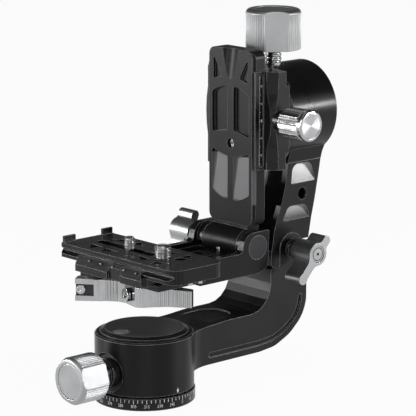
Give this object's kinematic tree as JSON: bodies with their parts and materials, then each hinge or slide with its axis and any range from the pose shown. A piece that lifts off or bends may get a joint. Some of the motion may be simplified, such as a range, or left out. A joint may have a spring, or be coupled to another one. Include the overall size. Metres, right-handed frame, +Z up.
{
  "type": "gimbal tripod head",
  "caption": "Side-arm gimbal head for a tripod: panning base, folding arm, tilting rail clamp and a folding lens platform with a lever clamp and sliding plate.",
  "frame": {"origin": "centre of the base's underside, on the pan axis, at the mouth of the tripod thread", "axes": "+Z up along the pan axis, +X along the arm's foot towards the fold joint (parallel to the tilt axis), +Y the lens axis towards the folded platform's wing lever"},
  "size_m": [0.1823, 0.1005, 0.2139],
  "materials": {
    "black": "satin black anodised",
    "black_jaw": "satin black anodised",
    "silver": "bead-blasted silver",
    "steel": "machined",
    "dark_steel": "blackened",
    "bronze": "machined",
    "washer": "matt",
    "vial": "liquid filled",
    "lens": "clear"
  },
  "bodies": {
    "base": {"base_ring": "black", "pan_spindle": "steel", "base_screws": "steel", "thrust_washer": "washer", "pan_retainer": "steel"},
    "housing": {"lower_arm": "black", "pan_bush": "bronze", "pan_cover": "black", "level_vial": "vial", "level_lens": "lens", "pan_knob_collar": "dark_steel", "fold_bolt": "dark_steel", "fold_washers": "washer", "fold_collar": "dark_steel"},
    "pan_lock": {"pan_knob": "silver", "pan_knob_cap": "silver", "pan_stud": "steel"},
    "fold_lock": {"fold_lever": "silver", "fold_lever_cap": "silver"},
    "side_arm": {"upper_arm": "black", "tilt_drum": "black", "tilt_bush_front": "bronze", "tilt_bush_rear": "bronze", "tilt_collar": "silver", "drum_cover": "black", "drum_cover_screws": "steel"},
    "tilt_lock": {"tilt_knob": "silver", "tilt_knob_cap": "silver", "tilt_stud": "steel"},
    "cradle": {"tilt_spindle": "steel", "spindle_nut": "steel", "clamp_body": "black", "clamp_body_screws": "steel", "clamp_guide_pins": "steel"},
    "clamp_jaw": {"clamp_jaw": "black_jaw"},
    "clamp_lock": {"clamp_knob": "silver", "clamp_knob_cap": "silver", "clamp_screw": "steel"},
    "rail": {"rail": "black", "rail_centre_screw": "steel"},
    "platform": {"platform_arm": "black", "hinge_pin": "steel", "hinge_pin_cap": "dark_steel", "platform_collar": "dark_steel", "clamp_base": "black", "clamp_base_screws": "steel", "jaw_guide_pins": "steel", "stop_pin": "steel"},
    "platform_lock": {"platform_lever": "silver", "platform_lever_cap": "silver"},
    "release_jaw": {"release_jaw": "black_jaw"},
    "release_lever": {"release_lever": "silver", "release_pivot": "steel", "tension_screw": "steel", "lever_bolt": "steel"},
    "camera_plate": {"camera_plate": "black", "plate_stop_screws": "steel"},
    "quarter_screw": {"quarter_screw": "steel"},
    "three_eighths_screw": {"three_eighths_screw": "steel"}
  },
  "joints": [
    {"name": "pan", "type": "hinge", "parent": "base", "child": "housing", "pos_m": [0, 0, 0.02], "axis": [0, 0, 1], "continuous": true},
    {"name": "pan_knob_turn", "type": "hinge", "parent": "housing", "child": "pan_lock", "pos_m": [-0.045, 0, 0.0197], "axis": [-1, 0, 0], "range_deg": [0, 360]},
    {"name": "arm_fold", "type": "hinge", "parent": "housing", "child": "side_arm", "pos_m": [0.0984, 0, 0.0748], "axis": [0, 1, 0], "range_deg": [0, 90]},
    {"name": "fold_lever_turn", "type": "hinge", "parent": "housing", "child": "fold_lock", "pos_m": [0.0984, -0.033, 0.0748], "axis": [0, -1, 0], "range_deg": [0, 360]},
    {"name": "tilt_knob_turn", "type": "hinge", "parent": "side_arm", "child": "tilt_lock", "pos_m": [0.1003, 0, 0.2], "axis": [0, 0, 1], "range_deg": [0, 360]},
    {"name": "tilt", "type": "hinge", "parent": "side_arm", "child": "cradle", "pos_m": [0.0893, 0, 0.154], "axis": [1, 0, 0], "range_deg": [-60, 90]},
    {"name": "clamp_jaw_slide", "type": "slide", "parent": "cradle", "child": "clamp_jaw", "axis": [0, -1, 0], "range_m": [0, 0.002]},
    {"name": "clamp_knob_turn", "type": "hinge", "parent": "clamp_jaw", "child": "clamp_lock", "pos_m": [0.08, -0.04, 0.154], "axis": [0, -1, 0], "range_deg": [0, 720]},
    {"name": "rail_slide", "type": "slide", "parent": "cradle", "child": "rail", "axis": [0, 0, 1], "range_m": [-0.012, 0.028]},
    {"name": "platform_fold", "type": "hinge", "parent": "rail", "child": "platform", "pos_m": [0.0665, 0, 0.081], "axis": [0, 1, 0], "range_deg": [0, 75]},
    {"name": "platform_lever_turn", "type": "hinge", "parent": "platform", "child": "platform_lock", "pos_m": [0.0665, 0.038, 0.081], "axis": [0, 1, 0], "range_deg": [0, 360]},
    {"name": "release_lever_turn", "type": "hinge", "parent": "platform", "child": "release_lever", "pos_m": [-0.0185, 0.0265, 0.062], "axis": [0, 0, -1], "range_deg": [0, 110]},
    {"name": "release_jaw_slide", "type": "slide", "parent": "platform", "child": "release_jaw", "axis": [-1, 0, 0], "range_m": [0, 0.00175]},
    {"name": "plate_slide", "type": "slide", "parent": "platform", "child": "camera_plate", "axis": [0, 1, 0], "range_m": [-0.01, 0.015]},
    {"name": "quarter_screw_turn", "type": "hinge", "parent": "camera_plate", "child": "quarter_screw", "pos_m": [-0.0025, 0.00929, 0.085], "axis": [0, 0, 1], "continuous": true},
    {"name": "three_eighths_screw_turn", "type": "hinge", "parent": "camera_plate", "child": "three_eighths_screw", "pos_m": [-0.0025, -0.01913, 0.085], "axis": [0, 0, 1], "continuous": true}
  ],
  "couplings": [
    {"joint": "clamp_knob_turn", "follows": "clamp_jaw_slide", "rad_per_m": 6283.2},
    {"joint": "release_lever_turn", "follows": "release_jaw_slide", "rad_per_m": 1100.2}
  ]
}
